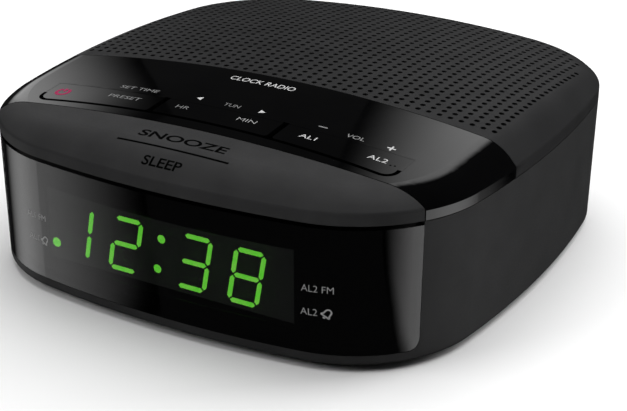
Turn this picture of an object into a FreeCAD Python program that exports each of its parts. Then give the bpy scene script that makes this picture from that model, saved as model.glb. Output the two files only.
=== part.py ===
import FreeCAD, Part
import math
import os

# Clock radio, in millimetres.  +X is right as seen from the front, the front faces -Y, +Z is up.
# The origin is on the table, under the middle of the case.

# Outer form
WIDTH = 132.0
DEPTH = 135.0
FRONT_RADIUS = 240.0        # plan bulge of the front and of the rear
SIDE_RADIUS = 275.0         # plan bulge of each side
CORNER_RADIUS = 33.5
BODY_BOTTOM = 1.5           # underside of the case above the table
PARTING_Z = 35.4            # where the crown meets the side wall
LIP_TOP_Z = 38.1            # top of the crown's upright lip
SHOULDER_Z = 41.3           # height at which the dome meets the corners' slope
CROWN_Z = 46.9              # highest point
CROWN_ROUND = 12.0
LIP_ROUND = 1.0
DRAFT = 0.5                 # how much the side wall leans in towards its foot
FOOT_ROUND = 1.2
WALL = 2.0
SEAM = 0.25                 # visible joint between two fixed covers
RIM_GAP = 0.2
SLIDE_GAP = 0.3
RUNNING = 0.05              # radial clearance of a pin in its bore

# Crown: snooze bar, glossy control panel, perforated cover
SNOOZE_RADIUS = 4000.0      # plan radius of the seam behind the snooze bar
FRONT_Y = -DEPTH / 2
PANEL_REAR_Y = FRONT_Y + 51.5
PANEL_REAR_RADIUS = 650.0
RIB = 1.4
RIB_DROP = 2.6

# Keys cut free in the control panel
KEY_FRONT_Y = FRONT_Y + 21.6
KEY_FRONT_RADIUS = 620.0
KEY_REAR_Y = FRONT_Y + 29.3
KEY_SLOT = 1.0
KEY_SLOT_MIDDLE = 1.5
KEY_HINGE_GAP = 0.25
KEY_HALF_SPAN = 47.9
MIDDLE_KEY_HALF = 15.6
KEY_HOOK = 1.0              # length of the wide slot up each outer end
KEY_CORNER = 2.5
KEY_INNER_CORNER = 0.8

# Push switches, their board and the posts that press them
SWITCH_Y = FRONT_Y + 24.9
OUTER_SWITCH_X = 44.0
INNER_SWITCH_X = 25.5
MIDDLE_SWITCH_X = 9.0
SNOOZE_SWITCH_Y = FRONT_Y + 10.5
SWITCH_SIZE = 6.0
SWITCH_HEIGHT = 3.5
STEM_R = 1.7
STEM_RISE = 0.8             # stem above the switch body
STEM_LENGTH = 2.3
POST_GAP = 0.1
POST_R = 1.5
BOARD = 1.6
KEY_BOARD_Z = 34.6
KEY_BOARD_HALF = 50.0

# Snooze bar hinge
SNOOZE_PIN_Y = FRONT_Y + 26.5
SNOOZE_PIN_Z = 36.6
SNOOZE_PIN_R = 1.2
SNOOZE_ARM_X = 51.4
SNOOZE_ARM = 2.6
PIN_CLIP = 3.0

# Window and display
WINDOW_ANGLE = 34.5         # where the window ends on the corner arc, from the X axis
WINDOW_BOTTOM = 4.1
WINDOW_TOP = 34.4
WINDOW_CORNER = 3.0
WINDOW_GAP = 0.12
WINDOW_LEDGE = 1.6
LEDGE_THICK = 1.2
MASK = 0.6
DISPLAY_X = -1.2
DISPLAY_Z = 18.1
DISPLAY_W = 68.3
DISPLAY_H = 18.8
MODULE_DEPTH = 8.0
SEGMENT_DEPTH = 0.6
DIGITS_X = -3.6             # middle of the colon
DIGITS_Z = 16.9
DIGIT_H = 14.2
DIGIT_W = 8.4
DIGIT_PITCH = 14.0
COLON_PITCH = 19.0
SEGMENT = 1.2
SEGMENT_GAP = 0.27
SLANT = 10.0
COLON_R = 1.05
COLON_RISE = 3.9
ALARM_DOT_R = 1.2
ALARM_DOT_X = 32.3          # from the middle of the display
ALARM_DOT_Z = 12.7
DISPLAY_BOARD_W = 80.0
DISPLAY_BOARD_Z = (5.6, 31.4)

# Chassis plate under the crown
FRAME_TOP = 33.2
FRAME_THICK = 2.0
FRAME_LEDGE = 1.4

# Base
BASE_THICK = 2.0
BASE_LEDGE = 1.5
FOOT_R = 5.5
FOOT_RECESS = 0.8
FOOT_X = 36.0
FOOT_Y = 50.0
SCREW_X = 50.0
SCREW_FRONT_Y = -34.0
SCREW_REAR_Y = 44.0
SCREW_R = 1.5
SCREW_LENGTH = 14.0
HEAD_R = 2.9
HEAD_H = 2.0
BOSS_R = 4.0
BOSS_JOINT_Z = 9.0
VENT_COUNT = 7
VENT_PITCH = 5.0
VENT_W = 1.8
VENT_L = 22.0

# Loudspeaker, axis upright
SPEAKER_Y = 22.0
SPEAKER_R = 28.5
SPEAKER_SEAT_Z = 38.2
FLANGE = 1.2
BASKET = 0.8
SPEAKER_DEPTH = 17.0
MAGNET_R = 15.0
MAGNET_BORE = 8.25
MAGNET_H = 6.0
PLATE_H = 2.0
PLATE_STEP = 1.0            # plates and basket floor inside the magnet's edge
POLE_R = 6.2
COIL_R = 6.6
COIL_WALL = 0.5
COIL_GAP = 0.4
COIL_REACH = 1.0            # how far the coil runs past the gap's lower edge
CONE_R = SPEAKER_R - 7.0
CONE_THICK = 0.4
NECK_THICK = 0.64
CONE_DEPTH = 5.5
CONE_TRAVEL = 0.8
SURROUND_W = 5.0
SURROUND_THICK = 0.3
SURROUND_GLUE = 0.6
SURROUND_EDGE = 1.2
COLLAR = 3.4
SPEAKER_SCREW_R = 1.2
SPEAKER_SCREW_HEAD = 2.2
SMALL_SCREW_HEAD_H = 1.3
SPEAKER_SCREW_LENGTH = 4.5
BOARD_SCREW_LENGTH = 4.0
BASKET_RIM = 3.2
BASKET_WINDOW = 14.0
BASKET_WINDOW_ROUND = 1.2
CAP_RISE = 2.0
CAP_THICK = 0.4
CAP_MARGIN = 1.2
SPIDER_THICK = 0.3
SPIDER_LIFT = 0.4
SPIDER_WAVE = 0.35
SPIDER_WAVES = 3
SPIDER_EDGE = 1.2

# Perforation
HOLE_R = 0.7
HOLE_COLUMN_PITCH = 2.8
HOLE_ROW_PITCH = 2.59
HOLE_FIRST_ROW = 1.75       # behind the seam

# Main board, transformer, coin cell, gland
MAIN_X = (-43.0, 43.0)
MAIN_Y = (-48.0, 0.0)
MAIN_Z = 10.0
MAIN_HOLE = 3.5
TRANSFORMER_X = -41.0
TRANSFORMER_Y = 20.0
CORE_W = 30.0
CORE_H = 25.0
CORE_STACK = 14.0
CORE_LEG = 5.0
BOBBIN_OUT = 7.0
CELL_R = 10.0
CELL_H = 3.2
CELL_FIT = 0.15
TRAY_X = 31.5
TRAY_Z = 9.0
TRAY_W = 23.4
TRAY_H = 4.4
TRAY_FLOOR = 1.0
TRAY_INNER_Y = DEPTH / 2 - 30.0
HOLDER_WALL = 1.4
GLAND_X = -36.0
GLAND_Z = 13.0
GLAND_BORE = 2.6
GLAND_R = 4.2
GLAND_FLANGE = 5.6
AERIAL_X = -14.0
AERIAL_BORE = 1.1
AERIAL_R = 2.2
AERIAL_FLANGE = 3.2
FLANGE_T = 1.1
PAD = WALL + 0.6            # flat seat for a grommet in the curved wall
WIRE_R = 0.6
LABEL_W = 44.0
LABEL_D = 26.0
LABEL_T = 0.2
LABEL_Y = -16.0
SCREW_CLEARANCE = 0.2
BOARD_POST_R = 2.6
KEY_BOARD_POST_R = 3.0
RIBBON_W = 18.0
RIBBON_THICK = 0.6
RIBBON_BEND = 3.0
RIBBON_RISE = 7.0
LEAD_BEND = 2.0
CAPACITORS = ((-32.0, -12.0, 5.0, 14.0), (-20.0, -12.0, 4.0, 11.0),
              (-32.0, -26.0, 3.15, 9.0), (30.0, -34.0, 2.5, 7.0))  # x, y, radius, height
CORE_STRAP = 4.0
CORE_STRAP_T = 1.0
COIL_CLEARANCE = 0.3
COIL_ROUND = 2.0
JOIN = 0.5                  # how far fused features run into each other

REACH = 400.0               # longer than the whole radio, for cutting tools


def vec(x, y, z=0.0):
    return FreeCAD.Vector(x, y, z)


def box(x0, x1, y0, y1, z0, z1):
    return Part.makeBox(x1 - x0, y1 - y0, z1 - z0, vec(x0, y0, z0))


def rod(radius, x, y, z0, z1):
    return Part.makeCylinder(radius, z1 - z0, vec(x, y, z0))


def rod_x(radius, x0, x1, y, z):
    return Part.makeCylinder(radius, x1 - x0, vec(x0, y, z), vec(1, 0, 0))


def rod_y(radius, x, y0, y1, z):
    return Part.makeCylinder(radius, y1 - y0, vec(x, y0, z), vec(0, 1, 0))


def tube(outer, inner, x, y, z0, z1):
    return rod(outer, x, y, z0, z1).cut(rod(inner, x, y, z0, z1))


def fused(shapes):
    result = shapes[0]
    for shape in shapes[1:]:
        result = result.fuse(shape)
    return result.removeSplitter()


def mirrored(shape):
    return shape.mirror(vec(0, 0, 0), vec(1, 0, 0))


def both_sides(shape):
    return [shape, mirrored(shape)]


def fillet_where(shape, radius, chosen):
    edges = [edge for edge in shape.Edges if chosen(edge)]
    return shape.makeFillet(radius, edges)


def middle_of(edge):
    return edge.valueAt((edge.FirstParameter + edge.LastParameter) / 2)


def revolved(points, y):
    """Turn a closed outline of (radius, z) points about the upright axis at this y."""
    corners = [vec(r, y, z) for r, z in points]
    face = Part.Face(Part.makePolygon(corners + corners[:1]))
    return face.revolve(vec(0, y, 0), vec(0, 0, 1), 360)


# ---------------------------------------------------------------- outer form

def front_centre():
    return vec(0, FRONT_RADIUS - DEPTH / 2)


def side_centre():
    return vec(WIDTH / 2 - SIDE_RADIUS, 0)


def corner_centre():
    """Centre of the front right corner arc, tangent inside the front and side arcs."""
    to_front = FRONT_RADIUS - CORNER_RADIUS
    to_side = SIDE_RADIUS - CORNER_RADIUS
    between = side_centre() - front_centre()
    span = between.Length
    along = (to_front ** 2 - to_side ** 2 + span ** 2) / (2 * span)
    across = math.sqrt(to_front ** 2 - along ** 2)
    unit = between * (1.0 / span)
    return front_centre() + unit * along + vec(-unit.y, unit.x) * across


def outline(inset, z):
    """Plan outline of the case, moved in by inset, as eight tangent arcs."""
    centre = corner_centre()
    to_front = (centre - front_centre()).normalize()
    to_side = (centre - side_centre()).normalize()
    outward = (to_front + to_side).normalize()
    f = front_centre() + to_front * (FRONT_RADIUS - inset)
    c = centre + outward * (CORNER_RADIUS - inset)
    s = side_centre() + to_side * (SIDE_RADIUS - inset)
    front = vec(0, inset - DEPTH / 2)
    side = vec(WIDTH / 2 - inset, 0)
    route = [(f, -1, 1), (front, 1, 1), (f, 1, 1), (c, 1, 1), (s, 1, 1), (side, 1, 1),
             (s, 1, -1), (c, 1, -1), (f, 1, -1), (front, 1, -1), (f, -1, -1), (c, -1, -1),
             (s, -1, -1), (side, -1, 1), (s, -1, 1), (c, -1, 1), (f, -1, 1)]
    points = [vec(p.x * sx, p.y * sy, z) for p, sx, sy in route]
    arcs = [Part.Arc(*points[i:i + 3]).toShape() for i in range(0, len(points) - 1, 2)]
    return Part.Wire(arcs)


def wall_form(inset, z0, z1):
    """Solid inside the leaning side wall, moved in by inset, between two heights."""
    lean = DRAFT / (PARTING_Z - BODY_BOTTOM)
    wires = [outline(inset + lean * (PARTING_Z - z), z) for z in (z0, z1)]
    return Part.makeLoft(wires, True, True)


def crown_radius():
    reach = corner_centre().Length + CORNER_RADIUS - (SHOULDER_Z - LIP_TOP_Z)
    rise = CROWN_Z - SHOULDER_Z
    return (reach ** 2 + rise ** 2) / (2 * rise)


def crown_ball(inset):
    ball = Part.makeSphere(crown_radius() - inset)
    ball.rotate(vec(0, 0, 0), vec(0, 1, 0), 90)
    ball.translate(vec(0, 0, CROWN_Z - crown_radius()))
    return ball


def crown_form(inset, z0=PARTING_Z):
    """Solid under the crown: upright lip, sloped shoulder and dome, moved in by inset."""
    crease = LIP_TOP_Z - inset * (math.sqrt(2) - 1)
    slope = CORNER_RADIUS / 3
    wires = [outline(inset, z0), outline(inset, crease), outline(inset + slope, crease + slope)]
    solid = Part.makeLoft(wires, True, True).common(crown_ball(inset))
    top = max(solid.Faces, key=lambda face: face.CenterOfMass.z)
    rim = [edge.hashCode() for edge in top.Edges]
    solid = fillet_where(solid, CROWN_ROUND - inset, lambda edge: edge.hashCode() in rim)
    if inset > 0:
        return solid
    return fillet_where(solid, LIP_ROUND, lambda edge: abs(edge.CenterOfMass.z - crease) < 0.01
                        and abs(middle_of(edge).z - crease) < 0.01)


def crown_top(x, y, inset=0.0):
    """Height of the dome over a point."""
    radius = crown_radius() - inset
    return CROWN_Z - crown_radius() + math.sqrt(radius ** 2 - x ** 2 - y ** 2)


def window_end():
    """Point on the outline where the window and the snooze bar end, and the wall's normal."""
    angle = math.radians(WINDOW_ANGLE)
    normal = vec(math.cos(angle), -math.sin(angle))
    return corner_centre() + normal * CORNER_RADIUS, normal


def sagitta(x, radius):
    return radius - math.sqrt(radius ** 2 - x ** 2)


def snooze_rear_y():
    end = window_end()[0]
    return end.y + sagitta(end.x, SNOOZE_RADIUS)


def in_front_of(apex_y, radius, shift=0.0):
    """Everything in front of a shallow arc whose rearmost point is at apex_y."""
    return Part.makeCylinder(radius + shift, REACH, vec(0, apex_y - radius, -REACH / 2))


# ---------------------------------------------------------------- crown parts

def seam_rib(apex_y, radius, near, far):
    """Stiffening rib under the crown along a seam, between two distances from it."""
    band = in_front_of(apex_y, radius, far).cut(in_front_of(apex_y, radius, near))
    roof = crown_form(WALL - 0.1).cut(crown_form(WALL + RIB_DROP))
    floor = box(-REACH, REACH, -REACH, REACH, PARTING_Z + RIM_GAP, REACH)
    return roof.common(band).common(floor)


def crown_shell():
    return crown_form(0).cut(crown_form(WALL, PARTING_Z - 1))


def make_snooze_bar(shell):
    apex = snooze_rear_y()
    bar = shell.common(in_front_of(apex, SNOOZE_RADIUS, -SEAM / 2))
    rib = seam_rib(apex, SNOOZE_RADIUS, -SEAM / 2 - RIB, -SEAM / 2)
    post = rod(POST_R, 0, SNOOZE_SWITCH_Y, stem_top() + POST_GAP, crown_top(0, SNOOZE_SWITCH_Y, WALL / 2))
    arm_top = SNOOZE_PIN_Z + SNOOZE_PIN_R + 0.2
    arm = box(SNOOZE_ARM_X, SNOOZE_ARM_X + SNOOZE_ARM, apex - 3, SNOOZE_PIN_Y,
              SNOOZE_PIN_Z - SNOOZE_PIN_R, arm_top)
    root = box(SNOOZE_ARM_X, SNOOZE_ARM_X + SNOOZE_ARM, apex - 3, apex - 1.2, arm_top - 1,
               CROWN_Z).common(crown_form(WALL / 2))
    eye = rod_x(SNOOZE_PIN_R + 0.2, SNOOZE_ARM_X, SNOOZE_ARM_X + SNOOZE_ARM, SNOOZE_PIN_Y,
                SNOOZE_PIN_Z)
    pin = rod_x(SNOOZE_PIN_R, SNOOZE_ARM_X, SNOOZE_ARM_X + SNOOZE_ARM + PIN_CLIP, SNOOZE_PIN_Y,
                SNOOZE_PIN_Z)
    return fused([bar, rib, post] + both_sides(fused([arm, root, eye, pin])))


def key_prism(x0, x1, grow, rear_y):
    """Upright block over a key's plan: curved front edge, straight sides and rear."""
    block = box(x0 - grow, x1 + grow, KEY_FRONT_Y - 20, rear_y, PARTING_Z, CROWN_Z + 5)
    return block.cut(in_front_of(KEY_FRONT_Y, KEY_FRONT_RADIUS, -grow))


def rounded_front(prism, radius, side):
    """Round the upright front edge of a key block on one side, +1 or -1."""
    def front_corner(edge):
        point = middle_of(edge)
        ends = [vertex.Point for vertex in edge.Vertexes]
        upright = len(ends) == 2 and abs(ends[0].x - ends[1].x) + abs(ends[0].y - ends[1].y) < 0.01
        centre = prism.BoundBox.Center
        return upright and point.y < centre.y and (point.x - centre.x) * side > 0
    return fillet_where(prism, radius, front_corner)


def key_opening():
    half = KEY_HALF_SPAN
    prism = key_prism(-half, half, KEY_SLOT, KEY_REAR_Y + KEY_HINGE_GAP)
    for side in (-1, 1):
        prism = rounded_front(prism, KEY_CORNER + KEY_SLOT, side)
    return prism


def make_control_panel(shell):
    panel = shell.common(in_front_of(PANEL_REAR_Y, PANEL_REAR_RADIUS, -SEAM / 2))
    panel = panel.cut(in_front_of(snooze_rear_y(), SNOOZE_RADIUS, SEAM / 2))
    rear_rib = seam_rib(PANEL_REAR_Y, PANEL_REAR_RADIUS, -SEAM / 2 - RIB, -SEAM / 2)
    return fused([panel, rear_rib]).cut(key_opening())


def key_posts(xs):
    posts = []
    for x in xs:
        posts.append(rod(POST_R, x, SWITCH_Y, stem_top() + POST_GAP, crown_top(x, SWITCH_Y, WALL / 2)))
    return posts


def make_middle_key(shell):
    prism = key_prism(-MIDDLE_KEY_HALF, MIDDLE_KEY_HALF, 0, KEY_REAR_Y)
    for side in (-1, 1):
        prism = rounded_front(prism, KEY_INNER_CORNER, side)
    return fused([shell.common(prism)] + key_posts([-MIDDLE_SWITCH_X, MIDDLE_SWITCH_X]))


def make_right_key(shell):
    inner = MIDDLE_KEY_HALF + KEY_SLOT_MIDDLE
    prism = key_prism(inner, KEY_HALF_SPAN, 0, KEY_REAR_Y)
    prism = rounded_front(prism, KEY_CORNER, 1)
    prism = rounded_front(prism, KEY_INNER_CORNER, -1)
    hook_y = KEY_FRONT_Y - sagitta(KEY_HALF_SPAN, KEY_FRONT_RADIUS) + KEY_HOOK + KEY_CORNER
    root = box(inner, KEY_HALF_SPAN + KEY_SLOT - KEY_HINGE_GAP, hook_y, KEY_REAR_Y, PARTING_Z,
               CROWN_Z + 5)
    plan = prism.fuse(root).removeSplitter()
    return fused([shell.common(plan)] + key_posts([INNER_SWITCH_X, OUTER_SWITCH_X]))


def hole_places():
    """Holes in straight rows and columns, over the loudspeaker's cone."""
    columns = range(-int(CONE_R / HOLE_COLUMN_PITCH) - 1, int(CONE_R / HOLE_COLUMN_PITCH) + 1)
    rows = range(int((SPEAKER_Y + CONE_R - PANEL_REAR_Y) / HOLE_ROW_PITCH) + 1)
    places = []
    for row in rows:
        y = PANEL_REAR_Y + HOLE_FIRST_ROW + row * HOLE_ROW_PITCH
        for column in columns:
            x = (column + 0.5) * HOLE_COLUMN_PITCH
            if math.hypot(x, y - SPEAKER_Y) < CONE_R:
                places.append((x, y))
    return places


def make_grille_cover(shell):
    cover = shell.cut(in_front_of(PANEL_REAR_Y, PANEL_REAR_RADIUS, SEAM / 2))
    rib = seam_rib(PANEL_REAR_Y, PANEL_REAR_RADIUS, SEAM / 2, SEAM / 2 + RIB)
    cover = fused([cover, rib])
    ball_centre = vec(0, 0, CROWN_Z - crown_radius())
    drills = []
    for x, y in hole_places():
        top = vec(x, y, crown_top(x, y)) - ball_centre
        top.normalize()
        start = ball_centre + top * (crown_radius() - WALL - 1)
        drills.append(Part.makeCylinder(HOLE_R, WALL + 2, start, top))
    return cover.cut(Part.makeCompound(drills))


# ---------------------------------------------------------------- side wall, window, display

def window_prism(shrink):
    """Upright wedge through the window's outline, its sides square to the curved wall."""
    end, normal = window_end()
    tangent = vec(-normal.y, normal.x)
    edge = end - tangent * shrink
    outer = edge + normal * 9
    inner = edge - normal * 14
    front_y = -DEPTH
    corners = [inner, outer, vec(outer.x, front_y), vec(-outer.x, front_y),
               vec(-outer.x, outer.y), vec(-inner.x, inner.y)]
    low = [vec(p.x, p.y, WINDOW_BOTTOM + shrink) for p in corners]
    face = Part.Face(Part.makePolygon(low + low[:1]))
    prism = face.extrude(vec(0, 0, CROWN_Z))

    def lower_side(e):
        point = middle_of(e)
        along = abs(e.tangentAt(e.FirstParameter).dot(normal))
        mirrored_along = abs(e.tangentAt(e.FirstParameter).dot(vec(-normal.x, normal.y)))
        return point.z < low[0].z + 0.01 and max(along, mirrored_along) > 0.999

    return fillet_where(prism, max(WINDOW_CORNER - shrink, 0.5), lower_side)


def wall_layer(near, far, z0, z1):
    return wall_form(near, z0, z1).cut(wall_form(far, z0 - 1, z1 + 1))


def gland_plane(x, flange):
    """Outer flat of a pad set into the curved rear wall at this x."""
    reach = abs(x) + flange + 0.6
    return DEPTH / 2 - sagitta(reach, FRONT_RADIUS) - DRAFT


def grommet_pad(shell, x, flange, hole):
    outer_y = gland_plane(x, flange)
    pad = rod_y(flange + 0.6, x, outer_y - PAD, outer_y, GLAND_Z)
    recess = rod_y(flange + 0.4, x, outer_y, DEPTH, GLAND_Z)
    bore = rod_y(hole, x, outer_y - PAD - 1, DEPTH, GLAND_Z)
    return shell.fuse(pad).cut(recess).cut(bore)


def tray_block(grow):
    """Opening in the rear wall for the coin-cell tray's front."""
    half = TRAY_W / 2 + grow
    return box(TRAY_X - half, TRAY_X + half, TRAY_INNER_Y, DEPTH, TRAY_Z - grow, TRAY_Z + TRAY_H + grow)


def make_side_shell():
    rim_z = PARTING_Z - RIM_GAP
    outer = wall_form(0, BODY_BOTTOM, rim_z)
    outer = fillet_where(outer, FOOT_ROUND, lambda e: middle_of(e).z < BODY_BOTTOM + 0.01)
    shell = outer.cut(wall_form(WALL, BODY_BOTTOM - 1, PARTING_Z + 1))
    base_top = BODY_BOTTOM + BASE_THICK
    foot_ledge = wall_layer(WALL - 0.4, WALL + BASE_LEDGE, base_top, base_top + 1.5)
    frame_under = FRAME_TOP - FRAME_THICK
    head_ledge = wall_layer(WALL - 0.4, WALL + FRAME_LEDGE, frame_under - 1.5, frame_under)
    shell = fused([shell, foot_ledge, head_ledge])
    clear = window_prism(0)
    inner = window_prism(WINDOW_LEDGE)
    ledge = wall_layer(WALL, WALL + LEDGE_THICK, base_top, WINDOW_TOP)
    ledge = ledge.common(window_prism(-1.5)).cut(inner)
    shell = fused([shell.cut(clear), ledge])
    shell = grommet_pad(shell, GLAND_X, GLAND_FLANGE, GLAND_R)
    shell = grommet_pad(shell, AERIAL_X, AERIAL_FLANGE, AERIAL_R)
    shell = shell.cut(tray_block(SEAM))
    return shell.removeSplitter()


def make_display_window():
    pane = wall_layer(0, WALL - 0.05, BODY_BOTTOM, WINDOW_TOP)
    return pane.common(window_prism(WINDOW_GAP))


def display_box(y0, y1):
    return box(DISPLAY_X - DISPLAY_W / 2, DISPLAY_X + DISPLAY_W / 2, y0, y1,
               DISPLAY_Z - DISPLAY_H / 2, DISPLAY_Z + DISPLAY_H / 2)


def make_display_mask():
    near = WALL + 0.05
    sheet = wall_layer(near, near + MASK, BODY_BOTTOM + 1, WINDOW_TOP - 0.3)
    sheet = sheet.common(window_prism(WINDOW_LEDGE + 0.2))
    return sheet.cut(display_box(-DEPTH, 0))


def display_face_y():
    """Flat face of the display: just behind the curved mask at the display's far end."""
    far_x = abs(DISPLAY_X) + DISPLAY_W / 2
    return sagitta(far_x, FRONT_RADIUS) + DRAFT + WALL + MASK + 0.25 - DEPTH / 2


def segment_solid(start, end, centre_x):
    """One bar between two corners of a digit, with pointed ends, leaning with the digit."""
    along = (end - start).normalize()
    across = vec(-along.y, along.x) * (SEGMENT / 2)
    tip_a = start + along * SEGMENT_GAP
    tip_b = end - along * SEGMENT_GAP
    in_a = tip_a + along * (SEGMENT / 2)
    in_b = tip_b - along * (SEGMENT / 2)
    flat = [tip_a, in_a + across, in_b + across, tip_b, in_b - across, in_a - across]
    lean = math.tan(math.radians(SLANT))
    y = display_face_y()
    corners = [vec(centre_x + p.x + p.y * lean, y, DIGITS_Z + p.y) for p in flat]
    face = Part.Face(Part.makePolygon(corners + corners[:1]))
    return face.extrude(vec(0, SEGMENT_DEPTH, 0))


def digit_segments(centre_x, lit):
    """Bars a to g of one digit, split into the lit ones and the dark ones."""
    w = (DIGIT_W - SEGMENT) / 2
    h = (DIGIT_H - SEGMENT) / 2
    bars = {
        "a": (vec(-w, h), vec(w, h)),
        "b": (vec(w, 0), vec(w, h)),
        "c": (vec(w, -h), vec(w, 0)),
        "d": (vec(-w, -h), vec(w, -h)),
        "e": (vec(-w, -h), vec(-w, 0)),
        "f": (vec(-w, 0), vec(-w, h)),
        "g": (vec(-w, 0), vec(w, 0)),
    }
    on = []
    off = []
    for name, (start, end) in bars.items():
        group = on if name in lit else off
        group.append(segment_solid(start, end, centre_x))
    return on, off


def dot_solid(radius, x, z):
    y = display_face_y()
    return rod_y(radius, x, y, y + SEGMENT_DEPTH, z)


def display_lights():
    """All lights of the display, showing 12:38 and the first alarm's dot."""
    near = COLON_PITCH / 2
    far = near + DIGIT_PITCH
    lit = []
    dark = []
    for offset, bars in ((-far, "bc"), (-near, "abged"), (near, "abgcd"), (far, "abcdefg")):
        on, off = digit_segments(DIGITS_X + offset, bars)
        lit += on
        dark += off
    lean = math.tan(math.radians(SLANT))
    for rise in (-COLON_RISE, COLON_RISE):
        lit.append(dot_solid(COLON_R, DIGITS_X + rise * lean, DIGITS_Z + rise))
    lit.append(dot_solid(ALARM_DOT_R, DISPLAY_X - ALARM_DOT_X, ALARM_DOT_Z))
    upper = 2 * DISPLAY_Z - ALARM_DOT_Z
    dark.append(dot_solid(ALARM_DOT_R, DISPLAY_X - ALARM_DOT_X, upper))
    dark.append(dot_solid(ALARM_DOT_R, DISPLAY_X + ALARM_DOT_X, ALARM_DOT_Z))
    dark.append(dot_solid(ALARM_DOT_R, DISPLAY_X + ALARM_DOT_X, upper))
    return Part.makeCompound(lit), Part.makeCompound(dark)


def make_led_module(lit, dark):
    y = display_face_y()
    return display_box(y, y + MODULE_DEPTH).cut(lit).cut(dark)


def make_display_board():
    y = display_face_y() + MODULE_DEPTH
    half = DISPLAY_BOARD_W / 2
    return box(-half, half, y, y + BOARD, DISPLAY_BOARD_Z[0], DISPLAY_BOARD_Z[1])


# ---------------------------------------------------------------- push switches and key board

def stem_top():
    return KEY_BOARD_Z + BOARD + SWITCH_HEIGHT + STEM_RISE


def switch_places():
    return {
        "power": (-OUTER_SWITCH_X, SWITCH_Y),
        "preset": (-INNER_SWITCH_X, SWITCH_Y),
        "hour": (-MIDDLE_SWITCH_X, SWITCH_Y),
        "minute": (MIDDLE_SWITCH_X, SWITCH_Y),
        "alarm_1": (INNER_SWITCH_X, SWITCH_Y),
        "alarm_2": (OUTER_SWITCH_X, SWITCH_Y),
        "snooze": (0.0, SNOOZE_SWITCH_Y),
    }


def make_switch(x, y):
    z = KEY_BOARD_Z + BOARD
    half = SWITCH_SIZE / 2
    body = box(x - half, x + half, y - half, y + half, z, z + SWITCH_HEIGHT)
    body = body.makeChamfer(0.4, [e for e in body.Edges if middle_of(e).z > z + SWITCH_HEIGHT - 0.01])
    well_floor = z + SWITCH_HEIGHT + STEM_RISE - STEM_LENGTH - 0.5
    return body.cut(rod(STEM_R + RUNNING, x, y, well_floor, z + REACH))


def make_stem(x, y):
    return rod(STEM_R, x, y, stem_top() - STEM_LENGTH, stem_top())


def make_key_board():
    strip = box(-KEY_BOARD_HALF, KEY_BOARD_HALF, SWITCH_Y - 6.5, SWITCH_Y + 5, KEY_BOARD_Z,
                KEY_BOARD_Z + BOARD)
    tongue = box(-9, 9, SNOOZE_SWITCH_Y - 4, SWITCH_Y, KEY_BOARD_Z, KEY_BOARD_Z + BOARD)
    board = strip.fuse(tongue).removeSplitter()
    for x, y in key_board_screws():
        board = board.cut(rod(SPEAKER_SCREW_R + SCREW_CLEARANCE, x, y, KEY_BOARD_Z - 1, KEY_BOARD_Z + 3))
    return board


def key_board_screws():
    mid = (INNER_SWITCH_X + OUTER_SWITCH_X) / 2
    return [(-mid, SWITCH_Y), (mid, SWITCH_Y)]


# ---------------------------------------------------------------- chassis plate and base

def case_screw_places():
    return [(sx * SCREW_X, y) for sx in (-1, 1) for y in (SCREW_FRONT_Y, SCREW_REAR_Y)]


def speaker_screw_places():
    reach = (SPEAKER_R + COLLAR / 2) / math.sqrt(2)
    return [(sx * reach, SPEAKER_Y + sy * reach) for sx in (-1, 1) for sy in (-1, 1)]


def make_top_frame():
    under = FRAME_TOP - FRAME_THICK
    plate = wall_form(WALL + RIM_GAP, under, FRAME_TOP)
    front = display_face_y() + MODULE_DEPTH + BOARD + 0.6
    hood = box(-REACH, REACH, -DEPTH, front, under - 1, FRAME_TOP + 1)
    plate = plate.cut(hood)
    window_zone = wall_layer(WALL, WALL + LEDGE_THICK + 0.4, under - 1, FRAME_TOP + 1)
    plate = plate.cut(window_zone.common(window_prism(-2.5)))
    collar_out = SPEAKER_R + COLLAR
    collar = rod(collar_out, 0, SPEAKER_Y, under, SPEAKER_SEAT_Z + FLANGE)
    plate = plate.fuse(collar)
    plate = plate.cut(rod(SPEAKER_R + 0.3, 0, SPEAKER_Y, SPEAKER_SEAT_Z, REACH))
    plate = plate.cut(rod(SPEAKER_R - 2.5, 0, SPEAKER_Y, under - 1, REACH))
    for x, y in case_screw_places():
        plate = plate.fuse(rod(BOSS_R, x, y, BOSS_JOINT_Z, FRAME_TOP))
        plate = plate.cut(rod(SCREW_R - 0.05, x, y, BOSS_JOINT_Z - 1, BOSS_JOINT_Z + SCREW_LENGTH))
    for x, y in speaker_screw_places():
        plate = plate.cut(rod(SPEAKER_SCREW_R, x, y, FRAME_TOP, REACH))
    for x, y in key_board_screws():
        plate = plate.fuse(rod(KEY_BOARD_POST_R, x, y, FRAME_TOP - JOIN, KEY_BOARD_Z))
        plate = plate.cut(rod(SPEAKER_SCREW_R, x, y, FRAME_TOP - 1, REACH))
    clip_x = SNOOZE_ARM_X + SNOOZE_ARM + SLIDE_GAP
    clip = box(clip_x, clip_x + PIN_CLIP - SLIDE_GAP, SNOOZE_PIN_Y - 2.4, SNOOZE_PIN_Y + 2.4,
               FRAME_TOP - 0.5, SNOOZE_PIN_Z + SNOOZE_PIN_R + 0.9)
    clip = clip.cut(rod_x(SNOOZE_PIN_R + RUNNING, 0, WIDTH, SNOOZE_PIN_Y, SNOOZE_PIN_Z))
    return fused([plate] + both_sides(clip))


def foot_places():
    return [(sx * FOOT_X, sy * FOOT_Y) for sx in (-1, 1) for sy in (-1, 1)]


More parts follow.
